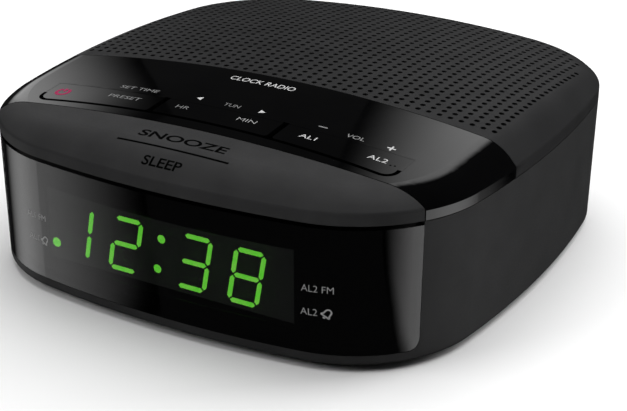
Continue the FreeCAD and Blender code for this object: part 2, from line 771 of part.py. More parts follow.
def vent_slots():
    slots = []
    for i in range(VENT_COUNT):
        x = (i - (VENT_COUNT - 1) / 2) * VENT_PITCH
        slot = box(x - VENT_W / 2, x + VENT_W / 2, SPEAKER_Y - VENT_L / 2, SPEAKER_Y + VENT_L / 2,
                   BODY_BOTTOM - 1, BODY_BOTTOM + BASE_THICK + 1)
        slots.append(fillet_where(slot, VENT_W / 2 - 0.01, lambda e: abs(
            e.tangentAt(e.FirstParameter).z) > 0.9))
    return slots


def main_board_screws():
    return [(x + s, y + t) for x, s in ((MAIN_X[0], MAIN_HOLE), (MAIN_X[1], -MAIN_HOLE))
            for y, t in ((MAIN_Y[0], MAIN_HOLE), (MAIN_Y[1], -MAIN_HOLE))]


def make_base_cover():
    top = BODY_BOTTOM + BASE_THICK
    base = wall_form(WALL + RIM_GAP, BODY_BOTTOM, top)
    for x, y in case_screw_places():
        base = base.fuse(rod(BOSS_R, x, y, BODY_BOTTOM, BOSS_JOINT_Z))
        base = base.cut(rod(HEAD_R + 0.3, x, y, 0, BOSS_JOINT_Z - 2.5))
        base = base.cut(rod(SCREW_R + 0.2, x, y, 0, BOSS_JOINT_Z + 1))
    for x, y in main_board_screws():
        base = base.fuse(rod(BOARD_POST_R, x, y, top - JOIN, MAIN_Z))
        base = base.cut(rod(SPEAKER_SCREW_R, x, y, top + 0.5, MAIN_Z + 1))
    for x, y in foot_places():
        base = base.cut(rod(FOOT_R, x, y, 0, BODY_BOTTOM + FOOT_RECESS))
    base = base.cut(Part.makeCompound(vent_slots()))
    base = base.cut(label_plate())
    base = base.fuse(transformer_seat())
    half = TRAY_W / 2 + SLIDE_GAP + HOLDER_WALL
    stand = box(TRAY_X - half + 1, TRAY_X + half - 1, TRAY_INNER_Y + 1, TRAY_INNER_Y + 18, top - 0.5,
                TRAY_Z - HOLDER_WALL - SLIDE_GAP)
    return fused([base, stand])


def make_feet():
    return Part.makeCompound([rod(FOOT_R, x, y, 0, BODY_BOTTOM + FOOT_RECESS) for x, y in foot_places()])


def label_plate():
    return box(-LABEL_W / 2, LABEL_W / 2, -LABEL_D / 2 + LABEL_Y, LABEL_D / 2 + LABEL_Y, BODY_BOTTOM,
               BODY_BOTTOM + LABEL_T)


def cross_screw(x, y, seat_z, length, radius, head_r, head_h, up):
    """Pan-head screw with a cross recess.  up is +1 when its tip points up."""
    head = rod(head_r, x, y, -head_h, 0)
    head = fillet_where(head, head_h * 0.4, lambda e: middle_of(e).z < 0.01 - head_h)
    arm = head_r * 0.6
    slit = head_r * 0.14
    depth = head_h * 0.55
    recess = box(x - arm, x + arm, y - slit, y + slit, -head_h, depth - head_h).fuse(
        box(x - slit, x + slit, y - arm, y + arm, -head_h, depth - head_h))
    shank = rod(radius, x, y, -0.1, length - radius)
    tip = Part.makeCone(radius, radius * 0.3, radius, vec(x, y, length - radius))
    screw = fused([head, shank, tip]).cut(recess)
    if up < 0:
        screw.rotate(vec(x, y, 0), vec(1, 0, 0), 180)
    screw.translate(vec(0, 0, seat_z))
    return screw


def make_case_screws():
    seat = BOSS_JOINT_Z - 2.5
    return Part.makeCompound([cross_screw(x, y, seat, SCREW_LENGTH, SCREW_R - 0.05, HEAD_R, HEAD_H, 1)
                              for x, y in case_screw_places()])


def make_board_screws():
    places = [(x, y, MAIN_Z + BOARD) for x, y in main_board_screws()]
    places += [(x, y, KEY_BOARD_Z + BOARD) for x, y in key_board_screws()]
    return Part.makeCompound([cross_screw(x, y, z, BOARD_SCREW_LENGTH, SPEAKER_SCREW_R, SPEAKER_SCREW_HEAD,
                                          SMALL_SCREW_HEAD_H, -1) for x, y, z in places])


def make_speaker_screws():
    seat = SPEAKER_SEAT_Z + FLANGE
    return Part.makeCompound([cross_screw(x, y, seat, SPEAKER_SCREW_LENGTH, SPEAKER_SCREW_R,
                                          SPEAKER_SCREW_HEAD + 0.6, SMALL_SCREW_HEAD_H, -1)
                              for x, y in speaker_screw_places()])


# ---------------------------------------------------------------- loudspeaker

def yoke_bottom():
    return SPEAKER_SEAT_Z - SPEAKER_DEPTH


def yoke_top():
    return yoke_bottom() + PLATE_H


def magnet_top():
    return yoke_top() + MAGNET_H


def plate_top():
    return magnet_top() + PLATE_H


def make_speaker_frame():
    """Pressed basket: flange, sloping wall with four windows, and the floor on the top plate."""
    t = BASKET
    floor = plate_top()
    seat = SPEAKER_SEAT_Z
    outer = SPEAKER_R
    rim = SPEAKER_R - BASKET_RIM
    floor_r = MAGNET_R - PLATE_STEP
    hole_r = POLE_R + 2 * PLATE_STEP + COIL_GAP
    profile = [(hole_r, floor), (floor_r + t, floor), (rim, seat), (outer, seat),
               (outer, seat + FLANGE), (rim - t, seat + FLANGE), (floor_r, floor + t),
               (hole_r, floor + t)]
    basket = revolved(profile, SPEAKER_Y)
    half = BASKET_WINDOW / 2
    for turn in range(4):
        window = box(floor_r - 2, outer, -half, half, floor + t + 1, seat - 1.2)
        window = fillet_where(window, BASKET_WINDOW_ROUND,
                              lambda e: abs(e.tangentAt(e.FirstParameter).x) > 0.9)
        window.rotate(vec(0, 0, 0), vec(0, 0, 1), 90 * turn)
        window.translate(vec(0, SPEAKER_Y, 0))
        basket = basket.cut(window)
    return basket


def make_speaker_magnet():
    return tube(MAGNET_R, MAGNET_BORE, 0, SPEAKER_Y, yoke_top(), magnet_top())


def make_speaker_yoke():
    plate = rod(MAGNET_R - PLATE_STEP, 0, SPEAKER_Y, yoke_bottom(), yoke_top())
    return plate.fuse(rod(POLE_R, 0, SPEAKER_Y, yoke_bottom(), plate_top())).removeSplitter()


def make_speaker_plate():
    inner = COIL_R + COIL_WALL + COIL_GAP
    return tube(MAGNET_R - PLATE_STEP, inner, 0, SPEAKER_Y, magnet_top(), plate_top())


def cone_edge_z():
    return SPEAKER_SEAT_Z + FLANGE - CONE_THICK


def cone_neck():
    return COIL_R + COIL_WALL


def neck_top():
    return cone_edge_z() - CONE_DEPTH + NECK_THICK


def make_speaker_cone():
    top = cone_edge_z()
    neck = cone_neck()
    profile = [(neck, top - CONE_DEPTH), (CONE_R, top), (CONE_R, top + CONE_THICK), (neck, neck_top())]
    return revolved(profile, SPEAKER_Y)


def make_voice_coil():
    return tube(COIL_R + COIL_WALL, COIL_R, 0, SPEAKER_Y, magnet_top() - COIL_REACH, neck_top())


def make_dust_cap():
    """Small domed cap over the coil, seated on the cone's neck."""
    reach = cone_neck() + CAP_MARGIN
    radius = (reach ** 2 + CAP_RISE ** 2) / (2 * CAP_RISE)
    slope = (CONE_DEPTH + CONE_THICK - NECK_THICK) / (CONE_R - cone_neck())
    base = neck_top() + slope * CAP_MARGIN
    centre = vec(0, SPEAKER_Y, base + CAP_RISE - radius)
    outer = Part.makeSphere(radius, centre)
    inner = Part.makeSphere(radius - CAP_THICK, centre)
    slab = rod(reach, 0, SPEAKER_Y, base, base + CAP_RISE + 1)
    return outer.cut(inner).common(slab)


def make_surround():
    """Half-roll edge between the cone and the basket's rim."""
    top = cone_edge_z() + CONE_THICK
    inner = CONE_R - SURROUND_GLUE
    outer = CONE_R + SURROUND_W
    thick = SURROUND_THICK
    mid = (CONE_R + outer - SURROUND_EDGE) / 2
    roll = (outer - SURROUND_EDGE - CONE_R) / 2
    wire = Part.Wire([
        Part.makeLine(vec(inner, SPEAKER_Y, top), vec(mid - roll, SPEAKER_Y, top)),
        Part.Arc(vec(mid - roll, SPEAKER_Y, top), vec(mid, SPEAKER_Y, top + roll),
                 vec(mid + roll, SPEAKER_Y, top)).toShape(),
        Part.makeLine(vec(mid + roll, SPEAKER_Y, top), vec(outer, SPEAKER_Y, top)),
        Part.makeLine(vec(outer, SPEAKER_Y, top), vec(outer, SPEAKER_Y, top + thick)),
        Part.makeLine(vec(outer, SPEAKER_Y, top + thick), vec(mid + roll + thick, SPEAKER_Y, top + thick)),
        Part.Arc(vec(mid + roll + thick, SPEAKER_Y, top + thick),
                 vec(mid, SPEAKER_Y, top + roll + thick),
                 vec(mid - roll - thick, SPEAKER_Y, top + thick)).toShape(),
        Part.makeLine(vec(mid - roll - thick, SPEAKER_Y, top + thick), vec(inner, SPEAKER_Y, top + thick)),
        Part.makeLine(vec(inner, SPEAKER_Y, top + thick), vec(inner, SPEAKER_Y, top)),
    ])
    return Part.Face(wire).revolve(vec(0, SPEAKER_Y, 0), vec(0, 0, 1), 360)


def make_spider():
    """Corrugated disc that centres the coil, glued to the basket's step."""
    floor = plate_top() + BASKET
    level = floor + SPIDER_LIFT
    inner = cone_neck()
    outer = MAGNET_R - SPIDER_EDGE
    steps = SPIDER_WAVES * 2
    pitch = (outer - inner) / steps
    rises = [0.0] + [SPIDER_WAVE * (-1) ** i for i in range(steps - 1)] + [floor - level]
    upper = [(inner + i * pitch, level + rise + SPIDER_THICK) for i, rise in enumerate(rises)]
    lower = [(inner + i * pitch, level + rise) for i, rise in enumerate(rises)]
    return revolved(lower + upper[::-1], SPEAKER_Y)


# ---------------------------------------------------------------- boards and components

def make_main_board():
    board = box(MAIN_X[0], MAIN_X[1], MAIN_Y[0], MAIN_Y[1], MAIN_Z, MAIN_Z + BOARD)
    for x, y in main_board_screws():
        board = board.cut(rod(SPEAKER_SCREW_R + SCREW_CLEARANCE, x, y, MAIN_Z - 1, MAIN_Z + BOARD + 1))
    return board


def chip(x, y, width, length, height, pins, board_top):
    """Packaged circuit with a row of bent legs down each long side."""
    body = box(x - width / 2, x + width / 2, y - length / 2, y + length / 2, board_top + 0.2,
               board_top + 0.2 + height)
    parts = [body]
    step = length / pins
    for side in (-1, 1):
        for i in range(pins):
            leg_y = y - length / 2 + (i + 0.5) * step
            near = x + side * (width / 2 - 0.1)
            far = x + side * (width / 2 + 0.9)
            parts.append(box(min(near, far), max(near, far), leg_y - 0.2, leg_y + 0.2, board_top,
                             board_top + 0.5))
    return fused(parts)


def make_capacitors():
    top = MAIN_Z + BOARD
    cans = []
    for x, y, radius, height in CAPACITORS:
        can = rod(radius, x, y, top, top + height)
        groove = tube(radius + 0.5, radius - 0.25, x, y, top + 1.4, top + 2.0)
        can = can.cut(groove)
        cans.append(fillet_where(can, 0.5, lambda e, z=top + height: middle_of(e).z > z - 0.01))
    return Part.makeCompound(cans)


# ---------------------------------------------------------------- transformer

def transformer_seat():
    top = BODY_BOTTOM + BASE_THICK
    half = CORE_W / 2 + CORE_STRAP
    return box(TRANSFORMER_X - 6, TRANSFORMER_X + 6, TRANSFORMER_Y - half, TRANSFORMER_Y + half,
               top - 0.5, top + 1.0)


def core_bottom():
    return BODY_BOTTOM + BASE_THICK + 1.0


def make_transformer_core():
    """Stack of E and I plates: outer frame, centre leg and two mounting feet."""
    z0 = core_bottom()
    x0 = TRANSFORMER_X - CORE_STACK / 2
    x1 = TRANSFORMER_X + CORE_STACK / 2
    y0 = TRANSFORMER_Y - CORE_W / 2
    y1 = TRANSFORMER_Y + CORE_W / 2
    block = box(x0, x1, y0, y1, z0, z0 + CORE_H)
    gap = (CORE_W - 4 * CORE_LEG) / 2
    for start in (y0 + CORE_LEG, TRANSFORMER_Y + CORE_LEG):
        block = block.cut(box(x0 - 1, x1 + 1, start, start + gap, z0 + CORE_LEG, z0 + CORE_H - CORE_LEG))
    strap = box(x0 + 2, x1 - 2, y0 - CORE_STRAP, y0 + JOIN, z0, z0 + CORE_STRAP_T)
    other = box(x0 + 2, x1 - 2, y1 - JOIN, y1 + CORE_STRAP, z0, z0 + CORE_STRAP_T)
    return fused([block, strap, other])


def make_transformer_coil():
    z0 = core_bottom() + CORE_LEG + COIL_CLEARANCE
    z1 = core_bottom() + CORE_H - CORE_LEG - COIL_CLEARANCE
    gap = (CORE_W - 4 * CORE_LEG) / 2
    reach = CORE_LEG + gap - COIL_CLEARANCE
    out = CORE_STACK / 2 + BOBBIN_OUT
    coil = box(TRANSFORMER_X - out, TRANSFORMER_X + out, TRANSFORMER_Y - reach, TRANSFORMER_Y + reach, z0, z1)
    coil = fillet_where(coil, COIL_ROUND, lambda e: abs(e.tangentAt(e.FirstParameter).z) > 0.9)
    leg = CORE_LEG + COIL_CLEARANCE
    stack = CORE_STACK / 2 + COIL_CLEARANCE
    return coil.cut(box(TRANSFORMER_X - stack, TRANSFORMER_X + stack, TRANSFORMER_Y - leg,
                        TRANSFORMER_Y + leg, z0 - 1, z1 + 1))


# ---------------------------------------------------------------- coin cell

def tray_pocket_y():
    return TRAY_INNER_Y + CELL_R + CELL_FIT + 1.2


def make_battery_tray():
    half = TRAY_W / 2
    inner_wall = wall_form(WALL, 0, PARTING_Z)
    front = wall_form(0, 0, PARTING_Z).cut(inner_wall).common(tray_block(0))
    tongue = box(TRAY_X - half, TRAY_X + half, TRAY_INNER_Y, DEPTH / 2, TRAY_Z, TRAY_Z + TRAY_H)
    tongue = tongue.common(wall_form(WALL - 0.5, 0, PARTING_Z))
    y = tray_pocket_y()
    tongue = tongue.cut(rod(CELL_R + CELL_FIT, TRAY_X, y, TRAY_Z + TRAY_FLOOR, REACH))
    tongue = tongue.cut(rod(CELL_R - 4, TRAY_X, y, 0, REACH))
    finger = rod(7.5, TRAY_X, DEPTH / 2 - sagitta(TRAY_X, FRONT_RADIUS) + 5.8, 0, TRAY_Z + 1.2)
    return fused([front, tongue]).cut(finger)


def make_coin_cell():
    z = TRAY_Z + TRAY_FLOOR
    cell = rod(CELL_R, TRAY_X, tray_pocket_y(), z, z + CELL_H)
    step = tube(CELL_R + 1, CELL_R - 1.4, TRAY_X, tray_pocket_y(), z, z + 0.5)
    return cell.cut(step)


def make_battery_holder():
    gap = SLIDE_GAP
    half = TRAY_W / 2 + gap
    z0 = TRAY_Z - gap
    z1 = TRAY_Z + TRAY_H + gap
    outer = box(TRAY_X - half - HOLDER_WALL, TRAY_X + half + HOLDER_WALL,
                TRAY_INNER_Y - gap - HOLDER_WALL, DEPTH, z0 - HOLDER_WALL, z1 + HOLDER_WALL)
    outer = outer.common(wall_form(WALL + SLIDE_GAP, 0, PARTING_Z))
    cavity = box(TRAY_X - half, TRAY_X + half, TRAY_INNER_Y - gap, DEPTH, z0, z1)
    hatch = box(TRAY_X - 6, TRAY_X + 6, tray_pocket_y() - 7, tray_pocket_y() + 7, z1 - 1, z1 + 5)
    return outer.cut(cavity).cut(hatch)


def make_battery_contact():
    """Sprung strip over the holder's hatch that reaches down over the cell."""
    z1 = TRAY_Z + TRAY_H + SLIDE_GAP + HOLDER_WALL
    y = tray_pocket_y()
    strip = box(TRAY_X - 2, TRAY_X + 2, y - 9.5, y + 4, z1, z1 + 0.3)
    drop = box(TRAY_X - 2, TRAY_X + 2, y + 3.7, y + 4, TRAY_Z + TRAY_H + 0.1, z1 + 0.3)
    return fused([strip, drop])


# ---------------------------------------------------------------- grommets and leads

def make_grommet(x, bore, radius, flange):
    outer_y = gland_plane(x, flange)
    body = rod_y(radius, x, outer_y - PAD, outer_y, GLAND_Z)
    outer = rod_y(flange, x, outer_y, outer_y + FLANGE_T, GLAND_Z)
    outer = fillet_where(outer, 0.5, lambda e: middle_of(e).y > outer_y + FLANGE_T - 0.01)
    inner = rod_y(flange, x, outer_y - PAD - FLANGE_T, outer_y - PAD, GLAND_Z)
    return fused([body, outer, inner]).cut(rod_y(bore, x, 0, DEPTH, GLAND_Z))


def bent_wire(points, radius, bend):
    """Round lead along straight runs joined by tangent arcs."""
    edges = []
    start = points[0]
    for before, corner, after in zip(points, points[1:], points[2:]):
        back = (before - corner).normalize()
        ahead = (after - corner).normalize()
        half_turn = (math.pi - back.getAngle(ahead)) / 2
        cut = bend * math.tan(half_turn)
        a = corner + back * cut
        b = corner + ahead * cut
        inward = (back + ahead).normalize()
        centre = corner + inward * (bend / math.cos(half_turn))
        middle = centre - inward * bend
        edges.append(Part.makeLine(start, a))
        edges.append(Part.Arc(a, middle, b).toShape())
        start = b
    edges.append(Part.makeLine(start, points[-1]))
    path = Part.Wire(edges)
    direction = (points[1] - points[0]).normalize()
    section = Part.Wire(Part.makeCircle(radius, points[0], direction))
    return path.makePipeShell([section], True, True)


def make_speaker_leads():
    """Two leads from the basket's tag to the main board."""
    leads = []
    board = MAIN_Z + BOARD
    edge_y = SPEAKER_Y - MAGNET_R - 7
    for offset in (-1.0, 1.0):
        x = 16.0 + offset
        points = [vec(x, edge_y - 10, board), vec(x, edge_y - 10, board + 6), vec(x, edge_y + 2, board + 6),
                  vec(x, edge_y + 2, SPEAKER_SEAT_Z - 9)]
        leads.append(bent_wire(points, WIRE_R, LEAD_BEND))
    return Part.makeCompound(leads)


def make_transformer_leads():
    """Two low-voltage leads from the winding to the main board."""
    leads = []
    board = MAIN_Z + BOARD
    out = TRANSFORMER_X + CORE_STACK / 2 + BOBBIN_OUT
    z = core_bottom() + CORE_H / 2
    for offset in (-1.5, 1.5):
        y = TRANSFORMER_Y - 4 + offset
        points = [vec(out, y, z), vec(out + 4 + offset, y, z), vec(out + 4 + offset, MAIN_Y[1] - 6, z),
                  vec(out + 4 + offset, MAIN_Y[1] - 6, board)]
        leads.append(bent_wire(points, WIRE_R, LEAD_BEND))
    return Part.makeCompound(leads)


def make_display_ribbon():
    """Flat ribbon from the display board's rear to the main board."""
    y0 = display_face_y() + MODULE_DEPTH + BOARD
    y1 = MAIN_Y[0] + 6
    z0 = MAIN_Z + BOARD
    z1 = z0 + RIBBON_RISE
    thick = RIBBON_THICK
    half = RIBBON_W / 2
    outer = box(-half, half, y0, y1, z0, z1)
    outer = fillet_where(outer, RIBBON_BEND, lambda e: abs(e.tangentAt(e.FirstParameter).x) > 0.9
                         and middle_of(e).y > y1 - 0.01 and middle_of(e).z > z1 - 0.01)
    inner = box(-half - 1, half + 1, y0 - 1, y1 - thick, z0 - 1, z1 - thick)
    inner = fillet_where(inner, RIBBON_BEND - thick, lambda e: abs(e.tangentAt(e.FirstParameter).x) > 0.9
                         and middle_of(e).y > y1 - thick - 0.01 and middle_of(e).z > z1 - thick - 0.01)
    return outer.cut(inner)


# ---------------------------------------------------------------- all parts

def build():
    shell = crown_shell()
    lit, dark = display_lights()
    right_key = make_right_key(shell)
    board_top = MAIN_Z + BOARD
    nodes = {
        "base_cover": make_base_cover(),
        "side_shell": make_side_shell(),
        "top_frame": make_top_frame(),
        "grille_cover": make_grille_cover(shell),
        "control_panel": make_control_panel(shell),
        "snooze_bar": make_snooze_bar(shell),
        "left_key": mirrored(right_key),
        "middle_key": make_middle_key(shell),
        "right_key": right_key,
        "display_window": make_display_window(),
        "display_mask": make_display_mask(),
        "led_module": make_led_module(lit, dark),
        "lit_segments": lit,
        "dark_segments": dark,
        "display_board": make_display_board(),
        "main_board": make_main_board(),
        "key_board": make_key_board(),
        "speaker_frame": make_speaker_frame(),
        "speaker_magnet": make_speaker_magnet(),
        "speaker_yoke": make_speaker_yoke(),
        "speaker_plate": make_speaker_plate(),
        "speaker_cone": make_speaker_cone(),
        "dust_cap": make_dust_cap(),
        "voice_coil": make_voice_coil(),
        "cone_surround": make_surround(),
        "spider": make_spider(),
        "speaker_screws": make_speaker_screws(),
        "transformer_core": make_transformer_core(),
        "transformer_coil": make_transformer_coil(),
        "battery_holder": make_battery_holder(),
        "battery_tray": make_battery_tray(),
        "coin_cell": make_coin_cell(),
        "battery_contact": make_battery_contact(),
        "cord_gland": make_grommet(GLAND_X, GLAND_BORE, GLAND_R, GLAND_FLANGE),
        "aerial_grommet": make_grommet(AERIAL_X, AERIAL_BORE, AERIAL_R, AERIAL_FLANGE),
        "rubber_feet": make_feet(),
        "case_screws": make_case_screws(),
        "board_screws": make_board_screws(),
        "clock_chip": chip(0.0, -26.0, 7.5, 18.0, 2.3, 14, board_top),
        "tuner_chip": chip(20.0, -20.0, 5.3, 8.0, 1.8, 8, board_top),
        "filter_capacitors": make_capacitors(),
        "display_ribbon": make_display_ribbon(),
        "speaker_leads": make_speaker_leads(),
        "transformer_leads": make_transformer_leads(),
        "rating_label": label_plate(),
    }
    for name, (x, y) in switch_places().items():
        nodes[name + "_switch"] = make_switch(x, y)
        nodes[name + "_stem"] = make_stem(x, y)
    return nodes


def main():
    os.makedirs("parts", exist_ok=True)
    for name, shape in build().items():
        shape.exportStep("parts/" + name + ".step")
        print(name, len(shape.Solids), shape.isValid(), round(shape.Volume, 1))


main()
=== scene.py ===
import math

import bmesh
import bpy
from mathutils import Matrix, Vector
from mathutils.bvhtree import BVHTree
from mathutils.interpolate import poly_3d_calc


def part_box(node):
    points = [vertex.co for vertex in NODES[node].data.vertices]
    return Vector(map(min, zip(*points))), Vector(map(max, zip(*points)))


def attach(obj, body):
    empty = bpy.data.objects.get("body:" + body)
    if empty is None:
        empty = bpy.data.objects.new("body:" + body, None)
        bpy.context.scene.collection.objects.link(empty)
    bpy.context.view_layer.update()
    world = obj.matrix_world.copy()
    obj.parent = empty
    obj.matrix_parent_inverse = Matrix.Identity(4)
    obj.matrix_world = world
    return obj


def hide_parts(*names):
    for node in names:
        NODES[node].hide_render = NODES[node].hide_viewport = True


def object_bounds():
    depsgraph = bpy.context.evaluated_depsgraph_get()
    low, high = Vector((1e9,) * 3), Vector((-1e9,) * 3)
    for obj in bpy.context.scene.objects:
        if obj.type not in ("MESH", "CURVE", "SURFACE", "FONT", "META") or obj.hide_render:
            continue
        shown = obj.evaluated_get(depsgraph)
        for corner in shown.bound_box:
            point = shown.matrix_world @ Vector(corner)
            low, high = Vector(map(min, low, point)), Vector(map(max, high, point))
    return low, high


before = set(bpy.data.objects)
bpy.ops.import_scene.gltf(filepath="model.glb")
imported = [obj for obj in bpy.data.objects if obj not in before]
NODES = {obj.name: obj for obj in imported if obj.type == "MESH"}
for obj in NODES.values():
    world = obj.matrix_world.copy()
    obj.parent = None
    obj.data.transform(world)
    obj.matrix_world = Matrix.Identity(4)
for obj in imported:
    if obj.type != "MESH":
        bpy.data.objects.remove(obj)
CAD_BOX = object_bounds()
MM = 0.001

# The lattice of holes in the crown's rear cover. The CAD drills those over the loudspeaker.
HOLE_RADIUS = 0.7 * MM
HOLE_COLUMN_PITCH = 2.8 * MM
HOLE_ROW_PITCH = 2.59 * MM
HOLE_FIRST_ROW = -14.25 * MM
HOLE_SIDES = 14
# The plain border outside the holes, and the corner radius of the case's plan.
HOLE_BORDER = 8.2 * MM
PLAN_CORNER_RADIUS = 33.5 * MM
# How deep a drill goes, and its length with half a millimetre to spare at each end.
CUT_DEPTH = 3.0 * MM
DRILL_LENGTH = CUT_DEPTH + 1.0 * MM
# Holes go only where the crown's normal rises at least this much.
LEAST_RISE = 0.5
# Edges sharper than this, in degrees, stay sharp on the drilled cover.
SHARP_ANGLE = 32
# The CAD's normals are taken over by faces that rise this much and lie this nearly the same way.
SKIN_RISE = 0.35
SAME_WAY = 0.8
# Each corner is looked up this part of the way towards its face's middle.
INWARD_PART = 0.02
# Vertices nearer than this are one vertex.
WELD_DISTANCE = 1e-7

# Rays start this far from the origin, clear of the whole object.
RAY_START = 1.0
DOWN = Vector((0, 0, -1))
REARWARD = Vector((0, 1, 0))

# Thickness of the printed films above and below the face, and their longest edge in millimetres.
FILM_LIFT = 0.025 * MM
FILM_SINK = 0.025 * MM
FILM_STEP = 0.6
REFINE_PASSES = 4

# Skins over the keys' living hinges, in millimetres: the hinge line, the keys' outer roots.
HINGE_Y = -38.075
ROOT_X = 48.775
ROOT_Y = -41.325
SKIN_WIDTH = 0.55

DOT_SIDES = 24
CARD_AIM = (0, 0, 0.03)


# ---------------------------------------------------------------- camera

def make_camera():
    azimuth, elevation, roll = math.radians(29.287), math.radians(23.422), 0.01043
    target = Vector((22.678, -30.559, 27.0)) * MM
    distance = 362.48
    back = Vector((math.sin(azimuth) * math.cos(elevation),
                   -math.cos(azimuth) * math.cos(elevation),
                   math.sin(elevation)))
    right = Vector((math.cos(azimuth), math.sin(azimuth), 0.0))
    up = back.cross(right)
    rolled_right = right * math.cos(roll) + up * math.sin(roll)
    rolled_up = up * math.cos(roll) - right * math.sin(roll)
    data = bpy.data.cameras.new("camera")
    data.sensor_width = 36.0
    data.lens = 88.77
    data.shift_x = -0.02086
    data.shift_y = -0.0237
    data.clip_start = 0.01
    data.clip_end = 20.0
    camera = bpy.data.objects.new("camera", data)
    bpy.context.scene.collection.objects.link(camera)
    turn = Matrix((rolled_right, rolled_up, back)).transposed().to_4x4()
    camera.matrix_world = Matrix.Translation(target + back * distance * MM) @ turn
    bpy.context.scene.camera = camera


# ---------------------------------------------------------------- materials

class Finish:
    """One procedural material, built around a Principled shader."""

    def __init__(self, name):
        self.material = bpy.data.materials.new(name)
        self.material.use_nodes = True
        self.tree = self.material.node_tree
        self.shader = self.tree.nodes["Principled BSDF"]
        self.place = self.node("ShaderNodeTexCoord").outputs["Object"]

    def node(self, kind, **values):
        made = self.tree.nodes.new(kind)
        for key, value in values.items():
            if hasattr(made, key):
                setattr(made, key, value)
            else:
                made.inputs[key.replace("_", " ")].default_value = value
        return made

    def link(self, source, target):
        self.tree.links.new(source, target)

    def set(self, **values):
        for key, value in values.items():
            self.shader.inputs[key.replace("_", " ")].default_value = value

    def stretched(self, scale):
        mapping = self.node("ShaderNodeMapping")
        mapping.inputs["Scale"].default_value = scale
        self.link(self.place, mapping.inputs["Vector"])
        return mapping.outputs["Vector"]

    def noise(self, size, detail=3.0, roughness=0.55, along=(1, 1, 1)):
        """Noise whose blobs are about size metres across."""
        made = self.node("ShaderNodeTexNoise", Scale=1.0 / size, Detail=detail, Roughness=roughness)
        self.link(self.stretched(along), made.inputs["Vector"])
        return made.outputs["Fac"]

    def cells(self, size):
        made = self.node("ShaderNodeTexVoronoi", Scale=1.0 / size)
        self.link(self.place, made.inputs["Vector"])
        return made.outputs["Distance"]

    def waves(self, size, direction, distortion=0.0):
        made = self.node("ShaderNodeTexWave", Scale=1.0 / size, Distortion=distortion)
        made.bands_direction = direction
        self.link(self.place, made.inputs["Vector"])
        return made.outputs["Fac"]

    def ramp(self, source, low, high, start=0.3, end=0.7):
        made = self.node("ShaderNodeValToRGB")
        made.color_ramp.elements[0].position = start
        made.color_ramp.elements[1].position = end
        made.color_ramp.elements[0].color = (*low, 1.0)
        made.color_ramp.elements[1].color = (*high, 1.0)
        self.link(source, made.inputs["Fac"])
        return made.outputs["Color"]

    def spread(self, source, low, high):
        made = self.node("ShaderNodeMapRange", From_Min=0.3, From_Max=0.7, To_Min=low, To_Max=high)
        self.link(source, made.inputs["Value"])
        return made.outputs["Result"]

    def mixed(self, a, b, how="MULTIPLY"):
        made = self.node("ShaderNodeMath", operation=how)
        self.link(a, made.inputs[0])
        self.link(b, made.inputs[1])
        return made.outputs["Value"]

    def color(self, source, low, high, start=0.3, end=0.7):
        self.link(self.ramp(source, low, high, start, end), self.shader.inputs["Base Color"])

    def rough(self, source, low, high):
        self.link(self.spread(source, low, high), self.shader.inputs["Roughness"])

    def bump(self, source, height):
        made = self.node("ShaderNodeBump", Strength=1.0, Distance=height)
        self.link(source, made.inputs["Height"])
        self.link(made.outputs["Normal"], self.shader.inputs["Normal"])


def scaled(color, factor):
    return tuple(min(1.0, part * factor) for part in color)


def moulded(name, color, low, high, grain=0.09 * MM, height=0.006 * MM):
    """Textured moulded plastic: fine spark-eroded grain, faint clouding."""
    made = Finish(name)
    made.set(Specular_IOR_Level=0.22)
    contrast = 0.12
    made.color(made.noise(9 * MM, 4.0), scaled(color, 1 - contrast), scaled(color, 1 + contrast))
    made.rough(made.noise(0.35 * MM, 5.0, 0.7), low, high)
    made.bump(made.mixed(made.cells(grain), made.noise(grain * 2), "ADD"), height)
    return made


def polished(name, color, low, high):
    """Gloss moulding: nearly flat, with a faint ripple, dust and wiping marks."""
    made = Finish(name)
    made.color(made.noise(14 * MM, 3.0), scaled(color, 0.8), scaled(color, 1.25))
    wiping = made.noise(1.5 * MM, 6.0, 0.75, along=(1.0, 0.25, 1.0))
    made.rough(wiping, low, high)
    made.bump(made.noise(7 * MM, 1.0), 0.004 * MM)
    return made


def metal(name, color, low, high, along=(1, 1, 8), grain=0.6 * MM):
    made = Finish(name)
    made.set(Metallic=1.0)
    lines = made.noise(grain, 4.0, 0.6, along=along)
    made.color(made.noise(6 * MM, 3.0), scaled(color, 0.86), scaled(color, 1.1))
    made.rough(lines, low, high)
    made.bump(lines, 0.01 * MM)
    return made


